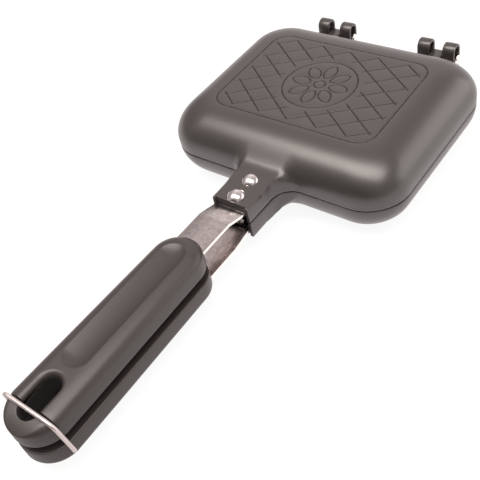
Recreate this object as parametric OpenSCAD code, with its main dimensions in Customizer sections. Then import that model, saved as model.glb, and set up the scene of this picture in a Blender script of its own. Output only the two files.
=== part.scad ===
// Pie iron: two hinged cast shells on strap handles, latched by a wire bail.
// Millimetres, +Z up. The working frame has the pan's centre at x = y = 0 and the seam
// between the shells at z = 0, and the handle runs towards -Y. placed() moves it to the
// part's frame, whose origin is the middle of the bounding box, on the resting face.

/* [Pan] */
// Width of the pan, across the handle
pan_w = 150; // [120:1:180]
// Depth of the pan, along the handle
pan_d = 121; // [100:1:150]
// Plan radius of the corners at the seam
corner_r = 23.4; // [18:0.2:30]
// Plan radius of the corners of the flat faces
face_corner_r = 12; // [9:0.5:16]
// Height of the upper shell above the seam
upper_h = 23.6; // [18:0.2:32]
// Height of the lower shell below the seam
lower_h = 23; // [18:0.2:32]
// Upright lip of the upper shell beside the seam
upper_lip = 4.4; // [1:0.2:6]
// Upright lip of the lower shell beside the seam
lower_lip = 1.2; // [1:0.2:6]
// Width of the upper shell's rounding, from its outline to its flat face
upper_round = 22; // [14:0.5:30]
// Width of the lower shell's rounding, from its outline to its flat face
lower_round = 22; // [14:0.5:30]
// Fullness of the rounding: 2 is a quarter ellipse, less is flatter
fullness = 1.9; // [1.5:0.1:2.2]
// Thickness of the cast walls
wall = 3; // [2:0.1:4]
// Width of the flat rim that presses the bread's edge
rim_w = 6; // [4:0.5:10]
// Gap between the two rims when the iron is shut
seam_gap = 0.3; // [0.2:0.1:1]

/* [Engraving] */
// Plain border of the flat face round the engraved field
field_edge = 1; // [0.5:0.5:10]
// Corner radius of the engraved border
field_r = 7; // [2:0.5:10]
// Width of an engraved line
groove_w = 0.9; // [0.5:0.1:1.5]
// Depth of an engraved line
groove_depth = 0.6; // [0.3:0.1:0.9]
// Distance between the lattice lines
lattice_pitch = 11; // [8:0.5:16]
// Slope of the lattice lines
lattice_angle = 36; // [25:1:55]
// Radius of the medallion's outer ring
medallion_r = 22; // [14:0.5:28]
// Number of petals in the rosette
petals = 8; // [5:1:10]

/* [Neck] */
// Width of the cast necks
neck_w = 23; // [20:0.5:28]
// Length of the necks in front of the pan
neck_l = 30.8; // [26:0.2:36]
// Height of each neck, from the seam to its outer face
neck_h = 10.2; // [9:0.2:12]
// Thickness of the neck's outer plate
plate_t = 3; // [2:0.1:4]
// Thickness of the neck's side flanges
flange_t = 1.7; // [1.2:0.1:2.2]
// Radius of the webs between the neck and the pan
web_r = 12; // [6:0.5:16]
// Height of those webs above the seam
web_h = 6.4; // [3:0.2:8]
// Distance from the pan to the rear rivet
rivet_y = 11.5; // [9:0.5:14]
// Distance between the two rivets
rivet_pitch = 13.2; // [11:0.2:15]
// Radius of a rivet's shank
rivet_r = 2.4; // [1.5:0.1:3]
// Radius of a rivet's domed head
rivet_head_r = 5; // [3.5:0.1:5.5]
// Height of a rivet's domed head
rivet_head_h = 3.2; // [1.5:0.1:4]
// Clearance round shanks and straps in their seats
fit_gap = 0.05; // [0.02:0.01:0.1]

/* [Straps] */
// Gap between a strap and the neck's flanges
strap_side_gap = 0.3; // [0.2:0.1:1]
// Thickness of the handle straps
strap_t = 1.8; // [1.2:0.1:2.4]
// Length of strap between the neck and its second bend
strap_slope_l = 13; // [9:0.5:18]
// Bare length of strap between the neck and the grips
strap_bare_l = 30.5; // [24:0.5:40]
// Length of strap inside a grip
strap_seat_l = 62; // [40:1:80]

/* [Grips] */
// Length of a grip
grip_l = 123.3; // [100:1:140]
// Thickness of a grip
grip_h = 13; // [11:0.5:16]
// Half width of a grip at its pan end
grip_near_r = 14.1; // [12:0.1:16]
// Half width of a grip at its hanging end
grip_far_r = 15.5; // [13:0.1:17]
// Rounding of a grip's outer edges
grip_round = 5.5; // [3:0.5:6]
// Rounding of a grip's inner edges
grip_edge = 1; // [0.5:0.5:2]
// Height of the upper grip's inner face above the seam
upper_grip_z = 3.3; // [2:0.1:5]
// Depth of the lower grip's inner face below the seam
lower_grip_z = 2; // [1:0.1:5]
// Length of the hanging slot
slot_l = 25; // [20:0.5:30]
// Width of the hanging slot
slot_w = 12; // [8:0.5:14]
// Distance from the grip's end to the hanging slot
slot_end = 5.6; // [4:0.2:10]
// Length of the thumb recess
recess_l = 76; // [50:1:84]
// Width of the thumb recess
recess_w = 14; // [10:0.5:18]
// Depth of the thumb recess
recess_depth = 1; // [0.5:0.1:1.6]
// Distance from the grip's pan end to the thumb recess
recess_near = 9.8; // [8:0.2:14]
// Radius of the screws that hold a grip on its strap
screw_r = 1.75; // [1.25:0.05:2]
// Length of those screws below their heads
screw_l = 7; // [5:0.5:8]

/* [Latch] */
// Radius of the latch wire
wire_r = 1; // [0.8:0.1:1.4]
// Distance from the grip's end to the latch pivot
pivot_end = 12.6; // [10:0.2:16]
// Depth of the latch pivot below the lower grip's inner face
pivot_drop = 5.8; // [4:0.2:8]
// How far the crossbar leans past the pivot when latched
latch_lean = 1.7; // [1:0.1:3]
// Depth of the step that the crossbar snaps behind
step_depth = 1.2; // [0.8:0.1:2]
// Gap between the wire and what it passes
wire_gap = 0.3; // [0.2:0.1:0.6]
// Length of each wire end inside the lower grip
wire_seat = 4.5; // [3:0.5:5]
// Radius of the bends beside the crossbar, on the wire's centre line
wire_bend = 5; // [3:0.5:9]

/* [Hinge] */
// Distance from the pan's side to the middle of a hinge
hinge_inset = 39.5; // [36:0.5:50]
// Width of a hinge over its two rings
hinge_w = 24; // [20:0.5:30]
// Width of a ring
ring_w = 7.85; // [5:0.05:9]
// Thickness of a ring round its slot
ring_wall = 1.8; // [1.2:0.1:2.5]
// Height of the ring tops above the seam
ring_top = 13.2; // [11:0.2:17]
// Distance from the pan's back to the pin
pin_back = 15; // [13:0.2:20]
// Height of the pin above the seam
pin_z = 2.5; // [1.5:0.1:3.5]
// Radius of the pin
pin_r = 2.5; // [1.5:0.1:3.2]
// How far the pin's domed ends stand out past its shank
pin_head_lip = 0.8; // [0.5:0.1:1.5]
// Height of the pin's domed ends
pin_head_h = 1.5; // [1:0.1:2]
// Clearance of the pin in the slotted rings
slot_gap = 0.2; // [0.15:0.05:0.4]
// Clearance between the lug and the rings, and under the pin's ends
side_gap = 0.3; // [0.2:0.05:0.5]
// Thickness of the lug round the pin
lug_wall = 1.55; // [1.2:0.05:2.4]

/* [Hidden] */

$fn = 48;
hull_fn = 32;
grip_fn = 40;
wire_fn = 24;
// half of the gap between the rims
seam = seam_gap / 2;
// a cut that runs well past a face
past = 1;
// how far two shapes of one piece run into each other
bite = 0.1;
// how far the necks, webs, rings and lugs run into the rim
root = rim_w / 2;
// thickness of the discs that a hull spans, and what is trimmed off it to leave a flat face
disc_t = 0.4;
trim = 0.05;

// places along the handle
pan_front = -pan_d / 2;
pan_back = pan_d / 2;
neck_end = pan_front - neck_l;
grip_near = neck_end - strap_bare_l;
grip_far = grip_near - grip_l;
// the strap starts short of the pan and bends just outside the neck
strap_short = 3;
bend_out = 1;
strap_start = pan_front - strap_short;
strap_end = grip_near - strap_seat_l;
strap_w = neck_w - 2 * (flange_t + strap_side_gap);
rear_rivet_y = pan_front - rivet_y;
front_rivet_y = rear_rivet_y - rivet_pitch;
// screws, as shares of the strap's length inside the grip
rear_screw_y = grip_near - 0.3 * strap_seat_l;
front_screw_y = grip_near - 0.8 * strap_seat_l;
// strap heights: against the neck's plate, and at mid height of the grips
strap_in_neck = neck_h - plate_t - strap_t / 2;
strap_in_upper = upper_grip_z + grip_h / 2;
strap_in_lower = lower_grip_z + grip_h / 2;
// the rivet's flat tail inside the neck
tail_r = 1.7 * rivet_r;
tail_h = 1.1;

// latch: the crossbar's place, its circle round the pivot, and the cut that clears it
pivot = [grip_far + pivot_end, -lower_grip_z - pivot_drop];
grip_top = upper_grip_z + grip_h;
bar = [pivot[0] - latch_lean, grip_top - step_depth + wire_r + wire_gap];
bar_rise = bar[1] - pivot[1];
bar_circle = sqrt(latch_lean * latch_lean + bar_rise * bar_rise);
step_y = bar[0] + wire_r + wire_gap;
leg_x = grip_far_r + wire_gap + wire_r;
end_bend = wire_r + wire_gap + bite;

// hinge
hinge_x = pan_w / 2 - hinge_inset;
hinge_y = pan_back + pin_back;
slot_r = pin_r + slot_gap;
ring_r = slot_r + ring_wall;
lug_r = pin_r + fit_gap + lug_wall;
lug_w = hinge_w - 2 * ring_w - 2 * side_gap;
// the rings' foot: how far below the seam it starts, and where its underside runs
foot_step = 2.4;
foot_drop = 8;
foot_heel = [hinge_y - 2, -6.5];
foot_toe = [hinge_y + ring_r - 1, -3];
// how far above the seam the lug's underside leaves the pan
lug_step = 1.2;

// engraving: the lattice's border, its gap round the medallion, and the rosette's shares of it
field_w = pan_w - 2 * (upper_round + field_edge);
field_d = pan_d - 2 * (upper_round + field_edge);
lattice_inset = 3.5;
medallion_gap = 3;
petal_span = [0.25, 0.84];
petal_arc = 1.15;
eye_share = 0.17;

// origin: middle of the length, on the lower shell's flat face
length_middle = (grip_far + hinge_y + ring_r) / 2;

module placed() {
  translate([0, -length_middle, lower_h]) children();
}

module both_sides() {
  children();
  mirror([1, 0, 0]) children();
}

// a profile drawn in Y and Z, given a width in X
module across(width) {
  rotate([90, 0, 90]) linear_extrude(width, center = true) children();
}

// ---- cast shells ----

function curve(x) = pow(x, 2 / fullness);
function rounding_inset(t, round_w, skin) = skin + (round_w - skin) * (1 - curve(cos(t)));
function rounding_z(t, h, lip, skin) = lip + (h - lip - skin) * curve(sin(t));
function rounding_r(t, skin) = corner_r - skin - (corner_r - face_corner_r) * (1 - curve(cos(t)));

// four corner discs of the outline drawn in by inset, from z0 to z1
module corner_discs(inset, r, z0, z1) {
  for (sx = [-1, 1])
    for (sy = [-1, 1])
      translate([sx * (pan_w / 2 - inset - r), sy * (pan_d / 2 - inset - r), z0])
        cylinder(r = r, h = z1 - z0, $fn = hull_fn);
}

// pillow shape of a shell, skin mm under its outer surface, with upright sides at edge
module pillow(h, lip, round_w, skin, edge) {
  // angle on the rounding where its inset reaches the upright sides
  start = acos(pow(1 - (edge - skin) / (round_w - skin), fullness / 2));
  hull() {
    corner_discs(edge, rounding_r(start, skin), -past, rounding_z(start, h, lip, skin));
    for (i = [1 : 10]) {
      t = start + (90 - start) * i / 10;
      z = rounding_z(t, h, lip, skin);
      corner_discs(rounding_inset(t, round_w, skin), rounding_r(t, skin), z - disc_t, z);
    }
  }
}

module neck_web() {
  difference() {
    translate([neck_w / 2 - past, pan_front - web_r]) square([web_r + past, web_r + root]);
    translate([neck_w / 2 + web_r, pan_front - web_r]) circle(web_r);
  }
}

// one half with its seam at z = 0 and its flat face up
module shell_half(h, lip, round_w) {
  difference() {
    union() {
      intersection() {
        pillow(h + trim, lip, round_w, 0, 0);
        translate([-pan_w, -pan_d, seam]) cube([2 * pan_w, 2 * pan_d, h - seam]);
      }
      translate([-neck_w / 2, neck_end, seam]) cube([neck_w, neck_l + root, neck_h - seam]);
      both_sides() translate([0, 0, seam]) linear_extrude(web_h - seam) neck_web();
    }
    pillow(h, lip, round_w, wall, rim_w);
    translate([flange_t - neck_w / 2, neck_end - past, -past])
      cube([neck_w - 2 * flange_t, neck_l, neck_h - plate_t + past]);
    for (y = [rear_rivet_y, front_rivet_y])
      translate([0, y, 0]) cylinder(r = rivet_r + fit_gap, h = neck_h + past);
  }
}

// stadium along Z of the given radius, from the pin's seat to the ring's top arc
module slot_profile(r) {
  rise = ring_top - ring_r - pin_z;
  translate([hinge_y, pin_z]) circle(r);
  translate([hinge_y, pin_z + rise]) circle(r);
  translate([hinge_y - r, pin_z]) square([2 * r, rise]);
}

module ring_profile() {
  difference() {
    union() {
      slot_profile(ring_r);
      polygon([[pan_back - root, -seam - foot_step], [hinge_y - ring_r, -seam - foot_step],
               [hinge_y - ring_r, pin_z], [hinge_y + ring_r, pin_z], foot_toe, foot_heel,
               [pan_back - root, -foot_drop]]);
    }
    slot_profile(slot_r);
  }
}

module lug_profile() {
  difference() {
    union() {
      translate([hinge_y, pin_z]) circle(lug_r);
      polygon([[pan_back - root, seam + lug_step], [hinge_y, pin_z - lug_r],
               [hinge_y, pin_z + lug_r], [pan_back - root, pin_z + lug_r]]);
    }
    translate([hinge_y, pin_z]) circle(pin_r + fit_gap);
  }
}

module rounded_field(w, d, r) {
  square([w, d - 2 * r], center = true);
  square([w - 2 * r, d], center = true);
  for (sx = [-1, 1])
    for (sy = [-1, 1])
      translate([sx * (w / 2 - r), sy * (d / 2 - r)]) circle(r);
}

module ring_line(r) {
  difference() {
    circle(r);
    circle(r - groove_w);
  }
}

// pointed petal between two arcs, from radius a to radius b
module petal(a, b, inset) {
  half_l = (b - a) / 2;
  arc_r = petal_arc * half_l;
  shift = sqrt(arc_r * arc_r - half_l * half_l);
  translate([(a + b) / 2, 0]) intersection() {
    translate([0, shift]) circle(arc_r - inset);
    translate([0, -shift]) circle(arc_r - inset);
  }
}

module rosette() {
  from = petal_span[0] * medallion_r;
  to = petal_span[1] * medallion_r;
  for (i = [0 : petals - 1])
    rotate(360 * i / petals) difference() {
      petal(from, to, 0);
      petal(from, to, groove_w);
    }
  ring_line(eye_share * medallion_r);
}

module lattice() {
  reach = field_w + field_d;
  lines = floor(reach / 2 / lattice_pitch);
  for (a = [-lattice_angle, lattice_angle])
    rotate(a)
      for (i = [-lines : lines])
        translate([0, (i + 0.5) * lattice_pitch]) square([reach, groove_w], center = true);
}

module engraving() {
  difference() {
    rounded_field(field_w, field_d, field_r);
    rounded_field(field_w - 2 * groove_w, field_d - 2 * groove_w, field_r - groove_w);
  }
  difference() {
    intersection() {
      lattice();
      rounded_field(field_w - 2 * lattice_inset, field_d - 2 * lattice_inset, field_r - lattice_inset);
    }
    circle(medallion_r + medallion_gap);
  }
  ring_line(medallion_r);
  rosette();
}

module lower_shell() {
  placed() color([0.33, 0.31, 0.30]) {
    mirror([0, 0, 1]) shell_half(lower_h, lower_lip, lower_round);
    for (side = [-1, 1])
      for (end = [-1, 1])
        translate([side * hinge_x + end * (hinge_w - ring_w) / 2, 0, 0]) across(ring_w) ring_profile();
  }
}

module upper_shell() {
  placed() color([0.37, 0.35, 0.34]) difference() {
    union() {
      shell_half(upper_h, upper_lip, upper_round);
      for (side = [-1, 1])
        translate([side * hinge_x, 0, 0]) across(lug_w) lug_profile();
    }
    translate([0, 0, upper_h - groove_depth]) linear_extrude(groove_depth + past) engraving();
  }
}

// ---- handle straps ----

// centre line of a strap, from inside the neck to inside the grip
function strap_path(z_grip) = [[strap_start, strap_in_neck], [neck_end - bend_out, strap_in_neck],
                               [neck_end - strap_slope_l, z_grip], [strap_end, z_grip]];
function unit(v) = v / norm(v);
function left_of(v) = [-v[1], v[0]];
// unit normal of a mitred corner, lengthened to keep the strip's thickness
function mitre(before, after) = unit(left_of(before) + left_of(after)) / cos(acos(before * after) / 2);
function strip_normal(p, i) =
  i == 0 ? left_of(unit(p[1] - p[0])) :
  i == len(p) - 1 ? left_of(unit(p[i] - p[i - 1])) :
  mitre(unit(p[i] - p[i - 1]), unit(p[i + 1] - p[i]));

module strip(p, thickness) {
  n = len(p) - 1;
  one = [for (i = [0 : n]) p[i] + strip_normal(p, i) * thickness / 2];
  other = [for (i = [n : -1 : 0]) p[i] - strip_normal(p, i) * thickness / 2];
  polygon(concat(one, other));
}

module strap(z_grip) {
  difference() {
    across(strap_w) strip(strap_path(z_grip), strap_t);
    for (y = [rear_rivet_y, front_rivet_y])
      translate([0, y, 0]) cylinder(r = rivet_r + fit_gap, h = neck_h);
    for (y = [rear_screw_y, front_screw_y])
      translate([0, y, 0]) cylinder(r = screw_r + fit_gap, h = z_grip + strap_t);
  }
}

module upper_strap() {
  placed() color([0.72, 0.70, 0.68]) strap(strap_in_upper);
}

module lower_strap() {
  placed() color([0.72, 0.70, 0.68]) mirror([0, 0, 1]) strap(strap_in_lower);
}

// ---- rivets and screws ----

module dome(r, h) {
  ball = (r * r + h * h) / (2 * h);
  intersection() {
    translate([0, 0, h - ball]) sphere(ball);
    cylinder(r = r, h = h);
  }
}

module neck_rivet(y) {
  tail_z = strap_in_neck - strap_t / 2;
  translate([0, y, 0]) {
    translate([0, 0, tail_z - tail_h]) cylinder(r = tail_r, h = tail_h);
    translate([0, 0, tail_z - bite]) cylinder(r = rivet_r, h = neck_h - tail_z + 2 * bite);
    translate([0, 0, neck_h]) dome(rivet_head_r, rivet_head_h);
  }
}

module upper_front_rivet() {
  placed() color("silver") neck_rivet(front_rivet_y);
}

module upper_rear_rivet() {
  placed() color("silver") neck_rivet(rear_rivet_y);
}

module lower_front_rivet() {
  placed() color("silver") mirror([0, 0, 1]) neck_rivet(front_rivet_y);
}

module lower_rear_rivet() {
  placed() color("silver") mirror([0, 0, 1]) neck_rivet(rear_rivet_y);
}

// countersunk screw in a grip's inner face, pointing up through the strap
module grip_screw(y, z_face) {
  translate([0, y, z_face]) {
    cylinder(r1 = 2 * screw_r, r2 = screw_r, h = screw_r);
    translate([0, 0, screw_r - bite]) cylinder(r = screw_r, h = screw_l + bite);
  }
}

module screw_seat(y, z_face) {
  translate([0, y, z_face]) {
    cylinder(r1 = 2 * screw_r + fit_gap, r2 = screw_r + fit_gap, h = screw_r);
    translate([0, 0, -past]) cylinder(r = 2 * screw_r + fit_gap, h = past);
    cylinder(r = screw_r + fit_gap, h = screw_r + screw_l + fit_gap);
  }
}

module upper_front_screw() {
  placed() color("gray") grip_screw(front_screw_y, upper_grip_z);
}

module upper_rear_screw() {
  placed() color("gray") grip_screw(rear_screw_y, upper_grip_z);
}

module lower_front_screw() {
  placed() color("gray") mirror([0, 0, 1]) grip_screw(front_screw_y, lower_grip_z);
}

module lower_rear_screw() {
  placed() color("gray") mirror([0, 0, 1]) grip_screw(rear_screw_y, lower_grip_z);
}

// ---- grips ----

// two discs of the grip's plan, drawn in by inset, from z0 to z1
module grip_discs(inset, z0, z1) {
  translate([0, grip_near - grip_near_r, z0]) cylinder(r = grip_near_r - inset, h = z1 - z0, $fn = grip_fn);
  translate([0, grip_far + grip_far_r, z0]) cylinder(r = grip_far_r - inset, h = z1 - z0, $fn = grip_fn);
}

module stadium(far, near, w) {
  translate([0, far + w / 2]) circle(w / 2);
  translate([0, near - w / 2]) circle(w / 2);
  translate([-w / 2, far + w / 2]) square([w, near - far - w]);
}

module grip_blank(z_face) {
  bottom = z_face - trim;
  top = z_face + grip_h + trim;
  intersection() {
    hull() {
      grip_discs(0, bottom + grip_edge, top - grip_round);
      for (t = [15 : 15 : 90]) {
        z = top - grip_round * (1 - sin(t));
        grip_discs(grip_round * (1 - cos(t)), z - disc_t, z);
      }
      for (t = [30 : 30 : 90]) {
        z = bottom + grip_edge * (1 - sin(t));
        grip_discs(grip_edge * (1 - cos(t)), z, z + disc_t);
      }
    }
    translate([-grip_far_r - past, grip_far - past, z_face])
      cube([2 * (grip_far_r + past), grip_l + 2 * past, grip_h]);
  }
}

// one grip with its inner face at z_face and its rounded face up
module grip(z_face, z_strap) {
  recess_start = grip_near - recess_near;
  difference() {
    grip_blank(z_face);
    translate([0, 0, z_face - past]) linear_extrude(grip_h + 2 * past)
      stadium(grip_far + slot_end, grip_far + slot_end + slot_l, slot_w);
    translate([0, 0, z_face + grip_h - recess_depth]) linear_extrude(recess_depth + past)
      stadium(recess_start - recess_l, recess_start, recess_w);
    translate([-strap_w / 2 - fit_gap, strap_end - fit_gap, z_strap - strap_t / 2 - fit_gap])
      cube([strap_w + 2 * fit_gap, strap_seat_l + past + fit_gap, strap_t + 2 * fit_gap]);
    for (y = [rear_screw_y, front_screw_y])
      screw_seat(y, z_face);
  }
}

// what the crossbar sweeps, past the step that it snaps behind
module swing_clearance() {
  difference() {
    translate([-grip_far_r - past, grip_far - past, pivot[1]])
      cube([2 * (grip_far_r + past), step_y - grip_far + past, grip_top - pivot[1] + past]);
    translate([0, pivot[0], pivot[1]]) rotate([0, 90, 0])
      cylinder(r = bar_circle - wire_r - wire_gap, h = 3 * grip_far_r, center = true, $fn = 96);
  }
}

module upper_grip() {
  placed() color([0.29, 0.27, 0.26]) difference() {
    grip(upper_grip_z, strap_in_upper);
    swing_clearance();
  }
}

module lower_grip() {
  placed() color([0.29, 0.27, 0.26]) difference() {
    mirror([0, 0, 1]) grip(lower_grip_z, strap_in_lower);
    both_sides() translate([grip_far_r + past, pivot[0], pivot[1]]) rotate([0, -90, 0])
      cylinder(r = wire_r + fit_gap, h = wire_seat + past + wire_gap);
  }
}

// ---- latch ----

// quarter bend of the wire from +Z at the origin towards -X
module wire_corner(r) {
  translate([-r, 0, 0]) rotate([90, 0, 0]) rotate_extrude(angle = 90) translate([r, 0]) circle(wire_r, $fn = wire_fn);
}

// the bail in its own frame: pivot axis along X through the origin, crossbar at the top
module bail() {
  leg_top = bar_circle - wire_bend;
  both_sides() {
    translate([grip_far_r - wire_seat, 0, 0]) rotate([0, 90, 0])
      cylinder(r = wire_r, h = leg_x - end_bend - grip_far_r + wire_seat, $fn = wire_fn);
    translate([leg_x, 0, end_bend]) mirror([0, 0, 1]) wire_corner(end_bend);
    translate([leg_x, 0, end_bend]) cylinder(r = wire_r, h = leg_top - end_bend, $fn = wire_fn);
    translate([leg_x, 0, leg_top]) wire_corner(wire_bend);
  }
  translate([0, 0, bar_circle]) rotate([0, 90, 0])
    cylinder(r = wire_r, h = 2 * (leg_x - wire_bend), center = true, $fn = wire_fn);
}

module latch_wire() {
  placed() color([0.85, 0.82, 0.80])
    translate([0, pivot[0], pivot[1]]) rotate([asin(latch_lean / bar_circle), 0, 0]) bail();
}

// ---- hinge pins ----

// pin with a domed end on each side of the rings
module hinge_pin(x) {
  shank = hinge_w + 2 * side_gap;
  translate([x, hinge_y, pin_z]) {
    rotate([0, 90, 0]) cylinder(r = pin_r, h = shank + 2 * bite, center = true);
    translate([shank / 2, 0, 0]) rotate([0, 90, 0]) dome(pin_r + pin_head_lip, pin_head_h);
    translate([-shank / 2, 0, 0]) rotate([0, -90, 0]) dome(pin_r + pin_head_lip, pin_head_h);
  }
}

module left_hinge_pin() {
  placed() color("silver") hinge_pin(-hinge_x);
}

module right_hinge_pin() {
  placed() color("silver") hinge_pin(hinge_x);
}

lower_shell();
upper_shell();
lower_strap();
upper_strap();
lower_grip();
upper_grip();
lower_front_rivet();
lower_rear_rivet();
upper_front_rivet();
upper_rear_rivet();
lower_front_screw();
lower_rear_screw();
upper_front_screw();
upper_rear_screw();
left_hinge_pin();
right_hinge_pin();
latch_wire();
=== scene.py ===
import math

import bmesh
import bpy
import numpy as np
from mathutils import Matrix, Vector, geometry


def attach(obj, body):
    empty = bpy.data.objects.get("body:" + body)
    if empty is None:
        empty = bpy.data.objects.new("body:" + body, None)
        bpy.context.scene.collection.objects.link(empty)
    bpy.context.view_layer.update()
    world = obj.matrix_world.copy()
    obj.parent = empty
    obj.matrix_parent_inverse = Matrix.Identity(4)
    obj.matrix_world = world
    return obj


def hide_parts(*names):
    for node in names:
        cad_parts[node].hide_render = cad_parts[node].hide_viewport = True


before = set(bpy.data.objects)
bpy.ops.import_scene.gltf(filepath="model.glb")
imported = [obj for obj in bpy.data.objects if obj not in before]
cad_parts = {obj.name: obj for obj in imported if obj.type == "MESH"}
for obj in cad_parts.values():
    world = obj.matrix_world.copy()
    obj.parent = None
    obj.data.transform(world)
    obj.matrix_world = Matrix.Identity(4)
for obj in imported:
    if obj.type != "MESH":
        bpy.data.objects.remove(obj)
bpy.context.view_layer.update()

print("frame loaded:", len(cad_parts), "parts")

# Work in millimetres round the middle of the pan: x across, y = 0 at its centre with the
# handle towards -y, and z = 0 on the seam. toFrame puts the points where the CAD has them.
panMiddleY = 82.55
seamHeight = 23.0


def toFrame(points):
    p = np.array(points, float).reshape(-1, 3)
    return (p + (0, panMiddleY, seamHeight)) / 1000


meshing = {"weld": 0.0015, "seamReach": 0.004, "slopeStep": 0.02, "steep": 0.6}   # mm, and the last a share


def unit(v):
    return v / np.linalg.norm(v, axis=-1, keepdims=True)


def smooth(a, b, x):
    t = np.clip((x - a) / (b - a), 0, 1)
    return t * t * (3 - 2 * t)


def softMin(a, b, k):
    h = np.clip(k - np.abs(a - b), 0, None) / k
    return np.minimum(a, b) - h * h * k / 4


def arc(cx, cy, r, start, end, n):
    t = np.radians(np.linspace(start, end, n))
    return np.column_stack([cx + r * np.cos(t), cy + r * np.sin(t)])


def atHeight(plan, z):
    return np.column_stack([plan, np.full(len(plan), z)])


def flatAt(z):
    return lambda x, y: np.full(x.shape, z)


def newBody():
    return {"points": [], "faces": [], "normals": []}


def addPoints(body, points, normals=None):
    first = len(body["points"])
    pts = np.array(points, float).reshape(-1, 3)
    body["points"].extend(map(tuple, pts))
    body["normals"].extend(map(tuple, np.zeros(pts.shape) if normals is None else normals))
    return first


def addGrid(body, rows, closeAcross=False, flip=False):
    # rows of points, all of one length
    rows = np.array(rows, float)
    n, m = rows.shape[:2]
    first = addPoints(body, rows)
    for i in range(n - 1):
        for j in range(m if closeAcross else m - 1):
            a, b = first + i * m + j, first + i * m + (j + 1) % m
            body["faces"].append((a, a + m, b + m, b) if flip else (a, b, b + m, a + m))


def addClosedBar(body, rows):
    # a tube of rings with both of its ends capped
    addGrid(body, rows, closeAcross=True)
    for row, way in ((rows[0], -1), (rows[-1], 1)):
        first = addPoints(body, row)
        body["faces"].append(tuple(range(first, first + len(row)))[::way])


def inside(polygon, pts):
    # even-odd test of many points against one closed outline
    x, y = pts[:, 0], pts[:, 1]
    hit = np.zeros(len(pts), bool)
    for (x1, y1), (x2, y2) in zip(polygon, np.roll(polygon, -1, 0)):
        if y1 == y2:
            continue
        cross = (y1 > y) != (y2 > y)
        hit ^= cross & (x < (x2 - x1) * (y - y1) / (y2 - y1) + x1)
    return hit


def between(outer, hole):
    return lambda p: inside(outer, p) & ~inside(hole, p)


def addSheet(body, lines, keep, height, up=1, ownNormals=True):
    # a surface over a plan: lines are (closed, points), and each one becomes edges of the mesh
    pts, edges = [], []
    for closed, line in lines:
        first, count = len(pts), len(line)
        pts.extend(Vector((float(x), float(y))) for x, y in line)
        edges.extend((first + i, first + (i + 1) % count) for i in range(count if closed else count - 1))
    out = geometry.delaunay_2d_cdt(pts, edges, [], 0, 1e-5)
    flat = np.array([tuple(p) for p in out[0]])
    tris = np.array([f for f in out[2] if len(f) == 3])
    tris = tris[keep(flat[tris].mean(1))]
    a, b, c = (flat[tris[:, k]] for k in range(3))
    turn = (b[:, 0] - a[:, 0]) * (c[:, 1] - a[:, 1]) - (b[:, 1] - a[:, 1]) * (c[:, 0] - a[:, 0])
    tris[turn < 0] = tris[turn < 0][:, ::-1]
    used, where = np.unique(tris, return_inverse=True)
    flat, tris = flat[used], where.reshape(-1, 3)
    x, y = flat.T
    normals = None
    if ownNormals:
        e = meshing["slopeStep"]
        dx = (height(x + e, y) - height(x - e, y)) / (2 * e)
        dy = (height(x, y + e) - height(x, y - e)) / (2 * e)
        normals = unit(np.stack([-dx, -dy, np.ones_like(dx)], 1)) * up
    solid = np.column_stack([flat, height(x, y)])
    face = np.cross(solid[tris[:, 1]] - solid[tris[:, 0]], solid[tris[:, 2]] - solid[tris[:, 0]])
    steep = face[:, 2] < meshing["steep"] * np.linalg.norm(face, axis=1)
    order = (0, 1, 2) if up > 0 else (2, 1, 0)
    # steep walls take Blender's own normals
    for part, own in ((tris[~steep], normals), (tris[steep], None)):
        first = addPoints(body, solid, own)
        body["faces"].extend(tuple(int(first + t[i]) for i in order) for t in part)


def turnedDown(body):
    # the same body on the other side of the seam
    out = {key: [(x, y, -z) for x, y, z in body[key]] for key in ("points", "normals")}
    out["faces"] = [f[::-1] for f in body["faces"]]
    if "groove" in body:
        out["groove"] = lambda x, y, z: body["groove"](x, y, -z)
    return out


def onHalf(half, body):
    # every shape is drawn for the upper half
    return turnedDown(body) if half == "lower" else body


def joinSeams(points, faces, normals):
    # a point that lies on another face's open edge becomes a corner of that face as well
    near = meshing["seamReach"]
    uses = {}
    for face in faces:
        for edge in zip(face, face[1:] + face[:1]):
            uses[frozenset(edge)] = uses.get(frozenset(edge), 0) + 1
    loose = np.array(sorted({i for edge, count in uses.items() if count == 1 for i in edge}), int)
    spots = points[loose]
    for k, face in enumerate(faces):
        ring, own, turns = [], [], normals[k]
        for a, b, normalA, normalB in zip(face, face[1:] + face[:1], turns, turns[1:] + turns[:1]):
            ring.append(a)
            own.append(normalA)
            if uses[frozenset((a, b))] > 1:
                continue
            along = points[b] - points[a]
            span = np.linalg.norm(along)
            t = (spots - points[a]) @ along / span ** 2
            off = np.linalg.norm(spots - points[a] - t[:, None] * along, axis=1)
            on = np.flatnonzero((off < near) & (t * span > near) & ((1 - t) * span > near))
            for j in sorted(on, key=lambda j: t[j]):
                if loose[j] not in face and loose[j] not in ring:
                    ring.append(int(loose[j]))
                    own.append(tuple(np.array(normalA) * (1 - t[j]) + np.array(normalB) * t[j]))
        faces[k], normals[k] = ring, own
    return faces, normals


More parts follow.
